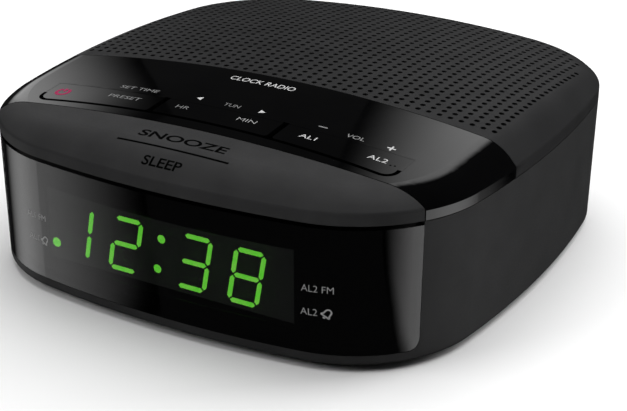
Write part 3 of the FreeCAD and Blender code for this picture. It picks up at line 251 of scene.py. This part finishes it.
def make_finishes():
    """Every finish, by the name of its material slot."""
    return {
        "matte_black": moulded("matte_black", (0.027, 0.027, 0.0275), 0.50, 0.62),
        "grille_black": moulded("grille_black", (0.0175, 0.0175, 0.018), 0.48, 0.58),
        "inner_black": moulded("inner_black", (0.022, 0.022, 0.023), 0.55, 0.7),
        "mask_black": moulded("mask_black", (0.003, 0.003, 0.0035), 0.7, 0.8, height=0.003 * MM),
        "display_grey": make_spill_finish("display_grey", (0.5, 0.53, 0.515), 0.1),
        "dark_light": make_spill_finish("dark_light", (0.42, 0.455, 0.435), 0.085),
        "chip_black": moulded("chip_black", (0.02, 0.02, 0.021), 0.55, 0.7, grain=0.05 * MM),
        "ferrite": moulded("ferrite", (0.05, 0.05, 0.055), 0.6, 0.8, grain=0.3 * MM, height=0.03 * MM),
        "gloss_black": polished("gloss_black", (0.0011, 0.0011, 0.0012), 0.035, 0.075),
        "steel": metal("steel", (0.5, 0.5, 0.52), 0.3, 0.45),
        "zinc_steel": metal("zinc_steel", (0.62, 0.62, 0.6), 0.22, 0.36, along=(2, 1, 1)),
        "nickel": metal("nickel", (0.7, 0.69, 0.66), 0.12, 0.22, along=(1, 1, 1)),
        "copper": metal("copper", (0.62, 0.28, 0.14), 0.25, 0.4, along=(1, 1, 12), grain=0.2 * MM),
        "smoked_window": make_window_finish(),
        "green_light": make_lit_finish(),
        "board_green": make_board_finish(),
        "rubber": moulded("rubber", (0.024, 0.024, 0.025), 0.75, 0.9, grain=0.15 * MM,
                          height=0.012 * MM),
        "cone_paper": make_paper_finish(),
        "winding_tape": make_tape_finish(),
        "wire_skin": moulded("wire_skin", (0.42, 0.03, 0.025), 0.35, 0.45, height=0.002 * MM),
        "label_silver": make_label_finish(),
        "spider_cloth": make_cloth_finish(),
    }


def make_window_finish():
    """Smoked acrylic: mostly dark, the display's face shows through it faintly."""
    made = polished("smoked_window", (0.0005, 0.0005, 0.0006), 0.03, 0.07)
    made.set(Alpha=0.8, IOR=1.75)
    made.material.surface_render_method = "BLENDED"
    return made


def make_spill_finish(name, color, strength):
    """Display face: moulded, with a faint painted glow that stands in for the light spilling from the
    segments inside it.
    """
    made = moulded(name, color, 0.5, 0.6, height=0.003 * MM)
    made.link(made.ramp(made.noise(6 * MM, 2.0), (0.86, 0.94, 0.88), (1.0, 1.0, 0.98)),
              made.shader.inputs["Emission Color"])
    # Painted glow: the face itself is no lamp.
    made.set(Emission_Strength=strength)
    return made


def make_lit_finish():
    """Lit segment: its glow a little uneven."""
    made = Finish("green_light")
    glow = made.noise(1.6 * MM, 2.0)
    tint = made.ramp(glow, (0.17, 1.0, 0.055), (0.3, 1.0, 0.11))
    made.link(tint, made.shader.inputs["Emission Color"])
    made.color(glow, (0.05, 0.3, 0.03), (0.08, 0.4, 0.04))
    made.set(Emission_Strength=11.0)
    return made


def make_board_finish():
    made = Finish("board_green")
    tracks = made.mixed(made.waves(3.1 * MM, "X", 4.0), made.waves(3.7 * MM, "Y", 5.0))
    made.color(tracks, (0.012, 0.085, 0.035), (0.03, 0.16, 0.06), 0.45, 0.5)
    made.rough(made.noise(0.8 * MM), 0.3, 0.42)
    made.bump(tracks, 0.03 * MM)
    return made


def make_paper_finish():
    made = Finish("cone_paper")
    fibres = made.noise(0.25 * MM, 6.0, 0.75, along=(1, 1, 0.4))
    made.color(fibres, (0.03, 0.03, 0.031), (0.055, 0.054, 0.052))
    made.rough(fibres, 0.8, 0.95)
    made.bump(fibres, 0.04 * MM)
    return made


def make_tape_finish():
    made = Finish("winding_tape")
    layers = made.waves(4.0 * MM, "Z", 1.0)
    made.color(layers, (0.55, 0.4, 0.06), (0.75, 0.56, 0.12), 0.1, 0.9)
    made.rough(made.noise(1.2 * MM), 0.18, 0.3)
    made.bump(layers, 0.05 * MM)
    return made


def make_label_finish():
    made = Finish("label_silver")
    made.set(Metallic=0.6)
    streaks = made.noise(0.5 * MM, 4.0, 0.6, along=(0.1, 2.0, 1.0))
    made.color(streaks, (0.42, 0.42, 0.43), (0.55, 0.55, 0.56))
    made.rough(streaks, 0.35, 0.5)
    return made


def make_cloth_finish():
    made = Finish("spider_cloth")
    weave = made.mixed(made.waves(0.6 * MM, "X"), made.waves(0.6 * MM, "Y"), "MAXIMUM")
    made.color(weave, (0.3, 0.17, 0.05), (0.55, 0.36, 0.13), 0.2, 0.9)
    made.rough(weave, 0.8, 0.95)
    made.bump(weave, 0.08 * MM)
    return made


def make_ink(name, color, roughness=0.5):
    """Pad-printed ink, also used for the painted shade in debossed letters: slightly uneven cover over
    the plastic's grain.
    """
    made = Finish(name)
    cover = made.noise(0.25 * MM, 4.0, 0.7)
    made.color(cover, scaled(color, 0.8), scaled(color, 1.08), 0.25, 0.6)
    made.rough(cover, roughness - 0.08, roughness + 0.08)
    made.set(Specular_IOR_Level=0.04)
    return made.material


# ---------------------------------------------------------------- meshes

def linked(name, data):
    made = bpy.data.objects.new(name, data)
    bpy.context.scene.collection.objects.link(made)
    return made


def stored(name, mesh):
    """Turns a bmesh into mesh data and frees it."""
    data = bpy.data.meshes.new(name)
    mesh.to_mesh(data)
    mesh.free()
    return data


def evaluated_mesh(thing):
    """Mesh of an object with its modifiers, or its letters, worked out."""
    evaluated = thing.evaluated_get(bpy.context.evaluated_depsgraph_get())
    return bpy.data.meshes.new_from_object(evaluated)


# ---------------------------------------------------------------- perforated cover

def cad_tree(*names):
    """One search tree over the faces of some CAD nodes."""
    points, faces = [], []
    for name in names:
        mesh = NODES[name].data
        start = len(points)
        points += [vertex.co.copy() for vertex in mesh.vertices]
        faces += [[start + index for index in polygon.vertices] for polygon in mesh.polygons]
    return BVHTree.FromPolygons(points, faces)


def drilled_in_cad(x, y, low, high):
    """Whether the CAD has already drilled this hole."""
    middle = (low + high) / 2
    return math.hypot(x - middle.x, y - middle.y) < (high.x - low.x) / 2


def hole_places():
    """Centres of all the holes, out to a plain border along the sides and the rear."""
    low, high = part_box("grille_cover")
    half = (high.x - low.x) / 2 - HOLE_BORDER
    rear = high.y - HOLE_BORDER
    corner = PLAN_CORNER_RADIUS - HOLE_BORDER
    places = []
    rows = int((rear - HOLE_FIRST_ROW) / HOLE_ROW_PITCH) + 1
    columns = int(half / HOLE_COLUMN_PITCH) + 1
    for row in range(rows):
        y = HOLE_FIRST_ROW + row * HOLE_ROW_PITCH
        for column in range(-columns, columns):
            x = (column + 0.5) * HOLE_COLUMN_PITCH
            past_x = abs(x) - (half - corner)
            past_y = y - (rear - corner)
            if abs(x) > half or (past_x > 0 and past_y > 0 and math.hypot(past_x, past_y) > corner):
                continue
            places.append((x, y))
    return places


def make_drills(tree):
    """One mesh of short rods, square to the crown, one for each hole."""
    low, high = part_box("speaker_cone")
    mesh = bmesh.new()
    for x, y in hole_places():
        if drilled_in_cad(x, y, low, high):
            continue
        hit, normal = tree.ray_cast(Vector((x, y, RAY_START)), DOWN)[:2]
        if hit is None or normal.z < LEAST_RISE:
            continue
        turn = normal.to_track_quat("Z", "Y").to_matrix().to_4x4()
        place = Matrix.Translation(hit - normal * CUT_DEPTH / 2) @ turn
        bmesh.ops.create_cone(mesh, cap_ends=True, segments=HOLE_SIDES, radius1=HOLE_RADIUS,
                              radius2=HOLE_RADIUS, depth=DRILL_LENGTH, matrix=place)
    return stored("drills", mesh)


def weld(data):
    mesh = bmesh.new()
    mesh.from_mesh(data)
    bmesh.ops.remove_doubles(mesh, verts=mesh.verts, dist=WELD_DISTANCE)
    mesh.to_mesh(data)
    mesh.free()


def keep_cad_normals(data, cad):
    """Shades the cut skin as smoothly as the uncut one, with the CAD's own normals.

    Only faces that look upward take them; a zero normal leaves Blender's own in place.
    """
    corners = [corner.vector.copy() for corner in cad.corner_normals]
    tree = BVHTree.FromPolygons([vertex.co for vertex in cad.vertices],
                                [polygon.vertices for polygon in cad.polygons])
    points = [vertex.co for vertex in data.vertices]
    normals = [Vector((0, 0, 0))] * len(data.loops)
    for polygon in data.polygons:
        if polygon.normal.z < SKIN_RISE:
            continue
        for loop in polygon.loop_indices:
            spot = points[data.loops[loop].vertex_index]
            inward = spot.lerp(polygon.center, INWARD_PART)
            nearest, flat, face = tree.find_nearest(inward)[:3]
            if flat.dot(polygon.normal) < SAME_WAY:
                continue
            target = cad.polygons[face]
            weights = poly_3d_calc([cad.vertices[index].co for index in target.vertices], nearest)
            blend = Vector((0, 0, 0))
            for weight, corner in zip(weights, target.loop_indices):
                blend += corners[corner] * weight
            normals[loop] = blend.normalized()
    data.normals_split_custom_set(normals)


def make_perforated_cover(material):
    cover = linked("perforated_cover", NODES["grille_cover"].data.copy())
    weld(cover.data)
    drills = linked("drills", make_drills(cad_tree("grille_cover")))
    cut = cover.modifiers.new("cut", "BOOLEAN")
    cut.operation = "DIFFERENCE"
    cut.solver = "MANIFOLD"
    cut.object = drills
    data = evaluated_mesh(cover)
    cover.modifiers.clear()
    cover.data = data
    bpy.data.objects.remove(drills)
    data.materials.clear()
    data.materials.append(material)
    data.polygons.foreach_set("use_smooth", [True] * len(data.polygons))
    data.set_sharp_from_angle(angle=math.radians(SHARP_ANGLE))
    keep_cad_normals(data, NODES["grille_cover"].data)
    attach(cover, "cabinet")
    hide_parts("grille_cover")


# ---------------------------------------------------------------- printed legends and painted letter shade

def text_shape(words, width, height, bold=0.0):
    """Flat letters, centred, stretched to a width and height in millimetres."""
    curve = bpy.data.curves.new("letters", "FONT")
    curve.body = words
    curve.resolution_u = 5
    curve.offset = bold
    carrier = linked("letters", curve)
    bpy.context.view_layer.update()
    mesh = evaluated_mesh(carrier)
    points = [vertex.co.to_2d() for vertex in mesh.vertices]
    faces = [list(polygon.vertices) for polygon in mesh.polygons]
    bpy.data.objects.remove(carrier)
    return fitted(points, faces, width, height)


def fitted(points, faces, width, height):
    """A flat shape, centred and stretched to a width and height."""
    xs = [p.x for p in points]
    ys = [p.y for p in points]
    across, along = max(xs) - min(xs), max(ys) - min(ys)
    middle = Vector(((max(xs) + min(xs)) / 2, (max(ys) + min(ys)) / 2))
    scale = (width / across, height / along)
    return [Vector(((p.x - middle.x) * scale[0], (p.y - middle.y) * scale[1])) for p in points], faces


def stroke_shape(points, width):
    """A band of even width along a line of 2-D points, in millimetres."""
    made = []
    last = len(points) - 1
    for index, (x, y) in enumerate(points):
        before = points[max(index - 1, 0)]
        after = points[min(index + 1, last)]
        ahead = Vector((after[0] - before[0], after[1] - before[1])).normalized()
        side = Vector((-ahead.y, ahead.x)) * width / 2
        made += [Vector((x, y)) + side, Vector((x, y)) - side]
    faces = [[2 * index, 2 * index + 1, 2 * index + 3, 2 * index + 2] for index in range(last)]
    return made, faces


def arc_points(radius, start, end, steps):
    """Points along an arc, from one angle in degrees to another."""
    return [(radius * math.cos(math.radians(start + (end - start) * k / steps)),
             radius * math.sin(math.radians(start + (end - start) * k / steps)))
            for k in range(steps + 1)]


def joined(*shapes):
    points, faces = [], []
    for shape_points, shape_faces in shapes:
        start = len(points)
        points += shape_points
        faces += [[start + index for index in face] for face in shape_faces]
    return points, faces


def moved(shape, x, y):
    return [p + Vector((x, y)) for p in shape[0]], shape[1]


def bar_shape(length, width, upright=False, pieces=8):
    ends = [(-length / 2 + length * k / pieces, 0.0) for k in range(pieces + 1)]
    return stroke_shape([(y, x) for x, y in ends] if upright else ends, width)


def arrow_shape(length, height, way):
    points = [Vector((way * length / 2, 0)), Vector((-way * length / 2, height / 2)),
              Vector((-way * length / 2, -height / 2))]
    return points, [[0, 1, 2] if way > 0 else [0, 2, 1]]


def power_shape(radius, width):
    ring = stroke_shape(arc_points(radius, 122, 418, 30), width)
    return joined(ring, moved(bar_shape(radius * 1.05, width, upright=True), 0, radius * 0.62))


def bell_shape(size, width):
    """Plain ringing bell: a dome, two flared sides, a rim and a clapper, tilted."""
    half = size / 2
    dome = arc_points(half * 0.62, 180, 0, 12)
    outline = [(-half, -half * 0.75), (-half * 0.66, -half * 0.3)]
    outline += [(x, y + half * 0.3) for x, y in dome]
    outline += [(half * 0.66, -half * 0.3), (half, -half * 0.75)]
    body = stroke_shape(outline, width)
    rim = moved(bar_shape(size, width), 0, -half * 0.75)
    clapper = moved(bar_shape(size * 0.25, width), 0, -half * 1.15)
    points, faces = joined(body, rim, clapper)
    tilt = Matrix.Rotation(math.radians(-35), 2)
    return [tilt @ p for p in points], faces


def disc_shape(radius):
    turn = 360 - 360 / DOT_SIDES
    return [Vector(p) for p in arc_points(radius, 0, turn, DOT_SIDES - 1)], [list(range(DOT_SIDES))]


def refine(mesh, step):
    """Splits a flat shape finely enough to follow a curved face."""
    bmesh.ops.triangulate(mesh, faces=mesh.faces)
    for _ in range(REFINE_PASSES):
        long_edges = [edge for edge in mesh.edges if edge.calc_length() > step]
        if not long_edges:
            break
        bmesh.ops.subdivide_edges(mesh, edges=long_edges, cuts=1)
        bmesh.ops.triangulate(mesh, faces=mesh.faces)


def print_film(name, shape, x, y, nodes, material, body, direction=DOWN, lift=FILM_LIFT,
               sink=FILM_SINK, step=FILM_STEP):
    """Lays a flat shape on CAD faces as a thin closed film.

    The shape, its place and step are in millimetres, lift and sink in metres. Seen from the
    front, with the direction REARWARD, y is the height above the table.
    """
    tree = cad_tree(*nodes)
    points, faces = shape
    mesh = bmesh.new()
    made = [mesh.verts.new((p.x, p.y, 0.0)) for p in points]
    for face in faces:
        if len(set(face)) > 2:
            mesh.faces.new([made[index] for index in face])
    refine(mesh, step)
    bmesh.ops.recalc_face_normals(mesh, faces=mesh.faces)
    below = bmesh.ops.extrude_face_region(mesh, geom=mesh.faces[:])
    for item in below["geom"]:
        if isinstance(item, bmesh.types.BMVert):
            item.co.z = -1.0
    for vertex in mesh.verts:
        flat = Vector((x + vertex.co.x, y + vertex.co.y)) * MM
        start = Vector((flat.x, flat.y, RAY_START))
        if direction is REARWARD:
            start = Vector((flat.x, -RAY_START, flat.y))
        hit, normal = tree.ray_cast(start, direction)[:2]
        if hit is None:
            raise ValueError(f"{name} doesn't lie on {nodes}")
        vertex.co = hit + normal * (lift if vertex.co.z > -0.5 else -sink)
    bmesh.ops.recalc_face_normals(mesh, faces=mesh.faces)
    data = stored(name, mesh)
    data.materials.append(material)
    piece = linked(name, data)
    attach(piece, body)


def cover_hinges(material):
    """The keys and the panel are one skin at the living hinges: hides the CAD's hinge gaps.

    The skins lie just clear of the faces, so that a key can sink under its own.
    """
    def skin(name, shape, x, y, key):
        print_film(name, shape, x, y, ["control_panel", key], material, "cabinet",
                   lift=0.03 * MM, sink=-0.018 * MM, step=3.0)
    skin("hinge_skin_middle", bar_shape(31.0, SKIN_WIDTH, pieces=60), 0.0, HINGE_Y, "middle_key")
    for side, key in ((-1, "left_key"), (1, "right_key")):
        skin("hinge_skin_" + key, bar_shape(31.9, SKIN_WIDTH, pieces=60), side * 33.15, HINGE_Y, key)
        skin("root_skin_" + key, bar_shape(5.75, SKIN_WIDTH, upright=True, pieces=12),
             side * ROOT_X, ROOT_Y, key)


def print_legends():
    """All the print, and the painted shade in the snooze bar's debossed letters. Each row has a name,
    a shape and its place in millimetres.
    """
    white = make_ink("white_ink", (0.5, 0.5, 0.5))
    pale = make_ink("pale_ink", (0.3, 0.3, 0.3))
    grey = make_ink("grey_ink", (0.2, 0.2, 0.2))
    # Near-black and matte: ink for the touch dots, and painted shade for the snooze bar's debossed
    # letters and line.
    dark = make_ink("dark_ink_and_recess_shade", (0.001, 0.001, 0.001), 0.8)
    red = make_ink("red_ink", (0.26, 0.02, 0.07), 0.4)
    panel = ["control_panel"]
    on_keys = [
        ("preset_word", text_shape("PRESET", 9.0, 1.5, -0.008), -26.6, -41.5, "left_key", grey),
        ("hour_word", text_shape("HR", 3.4, 1.5, -0.012), -10.0, -41.4, "middle_key", grey),
        ("minute_word", text_shape("MIN", 5.0, 1.5, -0.012), 7.6, -41.3, "middle_key", pale),
        ("alarm_1_word", text_shape("AL1", 4.2, 1.6), 24.1, -41.8, "right_key", white),
        ("alarm_2_word", text_shape("AL2", 4.8, 1.7), 42.1, -42.4, "right_key", white),
        ("power_symbol", power_shape(1.65, 0.85), -44.1, -43.0, "left_key", red),
        ("touch_dots", joined(moved(disc_shape(0.24), -0.5, 0.0), moved(disc_shape(0.24), 0.45, 0.25)),
         46.2, -43.4, "right_key", dark),
    ]
    for name, shape, x, y, key, ink in on_keys:
        print_film(name, shape, x, y, [key], ink, key)
    on_panel = [
        ("set_time_words", text_shape("SET TIME", 11.0, 1.5, -0.008), -26.2, -35.9, grey),
        ("tune_word", text_shape("TUN", 4.3, 1.5, -0.012), 0.1, -35.8, grey),
        ("volume_word", text_shape("VOL", 4.7, 1.6), 33.3, -36.3, grey),
        ("tune_down_arrow", arrow_shape(1.5, 1.7, -1), -9.3, -35.4, white),
        ("tune_up_arrow", arrow_shape(1.5, 1.7, 1), 8.4, -35.7, white),
        ("minus_sign", bar_shape(2.3, 0.4), 24.5, -35.7, grey),
        ("plus_sign_bar", bar_shape(2.1, 0.42), 42.4, -36.5, white),
        ("type_words", text_shape("CLOCK RADIO", 18.0, 2.2), -0.7, -20.8, white),
    ]
    for name, shape, x, y, ink in on_panel:
        print_film(name, shape, x, y, panel, ink, "cabinet")
    print_film("plus_sign_post", bar_shape(2.1, 0.42, upright=True), 42.4, -36.5, panel, white,
               "cabinet")
    # The snooze bar's letters and line are debossed: their near-black film is painted shade in the
    # recess, not ink.
    on_snooze = [
        ("snooze_word", text_shape("SNOOZE", 23.4, 2.9, 0.02), 0.2, -56.2),
        ("sleep_word", text_shape("SLEEP", 10.2, 2.0, 0.016), 0.0, -64.3),
        ("snooze_line", bar_shape(29.8, 0.55, pieces=40), 0.0, -60.4),
    ]
    for name, shape, x, y in on_snooze:
        print_film(name, shape, x, y, ["snooze_bar"], dark, "snooze_bar")
    on_window = [
        ("alarm_1_radio_words", text_shape("AL1 FM", 6.4, 1.5, -0.008), -36.9, 20.0),
        ("alarm_1_bell_word", text_shape("AL1", 3.4, 1.5, -0.008), -38.2, 14.2),
        ("alarm_1_bell", bell_shape(2.1, 0.34), -34.4, 14.2),
        ("alarm_2_radio_words", text_shape("AL2 FM", 7.0, 1.6, -0.008), 39.2, 20.0),
        ("alarm_2_bell_word", text_shape("AL2", 3.7, 1.6, -0.008), 37.4, 14.3),
        ("alarm_2_bell", bell_shape(2.2, 0.36), 41.4, 14.3),
    ]
    for name, shape, x, z in on_window:
        print_film(name, shape, x, z, ["display_window"], pale, "cabinet",
                   direction=REARWARD)


# ---------------------------------------------------------------- studio

def make_floor():
    mesh = bmesh.new()
    bmesh.ops.create_grid(mesh, x_segments=8, y_segments=8, size=4.0)
    data = stored("floor", mesh)
    floor = linked("floor", data)
    floor.location.z = CAD_BOX[0][2] - 0.02 * MM
    paper = Finish("floor_paper")
    paper.color(paper.noise(120 * MM), (0.87, 0.87, 0.87), (0.9, 0.9, 0.9))
    paper.rough(paper.noise(2 * MM), 0.75, 0.9)
    data.materials.append(paper.material)
    floor.visible_glossy = False


def aim(thing, place, target):
    thing.location = place
    thing.rotation_euler = (Vector(place) - Vector(target)).to_track_quat("Z", "Y").to_euler()


def softbox(name, place, target, size, power):
    """A square of light that reflections don't see."""
    data = bpy.data.lights.new(name, "AREA")
    data.shape = "RECTANGLE"
    data.size = data.size_y = size
    data.energy = power
    light = linked(name, data)
    light.visible_glossy = False
    aim(light, place, target)


def reflected(name, turn, rise, distance, size, strength, fade):
    """A glowing card that only reflections see, soft towards its edges.

    turn is in degrees clockwise from the front, as seen from above. rise is in degrees above the
    level of CARD_AIM. fade is the soft part of each half side, out of 0.5.
    """
    mesh = bmesh.new()
    bmesh.ops.create_grid(mesh, x_segments=2, y_segments=2, size=0.5)
    data = stored(name, mesh)
    made = linked(name, data)
    made.scale = (size[0], size[1], 1.0)
    level = distance * math.cos(math.radians(rise))
    aim(made, (-level * math.sin(math.radians(turn)), -level * math.cos(math.radians(turn)),
               CARD_AIM[2] + distance * math.sin(math.radians(rise))), CARD_AIM)
    glow = Finish(name)
    split = glow.node("ShaderNodeSeparateXYZ")
    glow.link(glow.place, split.inputs["Vector"])
    sides = []
    for axis, part in zip(("X", "Y"), fade):
        distance_in = glow.node("ShaderNodeMath", operation="ABSOLUTE")
        glow.link(split.outputs[axis], distance_in.inputs[0])
        soft = glow.node("ShaderNodeMapRange", interpolation_type="SMOOTHSTEP", From_Min=0.5,
                         From_Max=0.5 - part, To_Min=0.0, To_Max=1.0)
        glow.link(distance_in.outputs["Value"], soft.inputs["Value"])
        sides.append(soft.outputs["Result"])
    lamp = glow.node("ShaderNodeEmission", Strength=strength)
    glow.link(glow.mixed(*sides), lamp.inputs["Color"])
    glow.link(lamp.outputs["Emission"], glow.tree.nodes["Material Output"].inputs["Surface"])
    data.materials.append(glow.material)
    made.visible_camera = False
    made.visible_diffuse = False
    made.visible_shadow = False
    made.visible_transmission = False


def make_studio():
    make_floor()
    world = bpy.data.worlds.new("studio")
    bpy.context.scene.world = world
    world.use_nodes = True
    background = world.node_tree.nodes["Background"].inputs
    background["Color"].default_value = (0.9, 0.9, 0.92, 1.0)
    background["Strength"].default_value = 0.02
    softbox("overhead", (0.0, 0.3, 1.1), (0, 0, 0), 1.5, 21.0)
    softbox("front_left", (-0.8, -0.8, 0.75), (0, 0, 0.02), 0.7, 6.0)
    softbox("rear_right", (0.65, 0.85, 0.42), (0, 0, 0.02), 0.6, 8.0)
    reflected("card_rear_right", 168.5, 36, 1.0, (0.43, 0.75), 1.25, (0.4, 0.3))
    reflected("card_rear_left", 125.5, 16, 1.0, (0.42, 0.5), 1.25, (0.46, 0.3))
    reflected("card_low_left", 70, -25, 0.6, (0.76, 0.2), 1.4, (0.48, 0.2))
    reflected("card_low_right", -98, -25, 0.6, (1.1, 0.2), 1.9, (0.49, 0.2))


# ---------------------------------------------------------------- assembly

def dress_nodes(finishes):
    """Gives every CAD node the procedural finish of its material slot."""
    for node in NODES.values():
        for slot in node.material_slots:
            slot.material = finishes[slot.material.name.split(".")[0]].material


make_camera()
finishes = make_finishes()
dress_nodes(finishes)
make_perforated_cover(finishes["grille_black"].material)
cover_hinges(finishes["gloss_black"].material)
print_legends()
make_studio()
bpy.context.scene.view_settings.view_transform = "Standard"
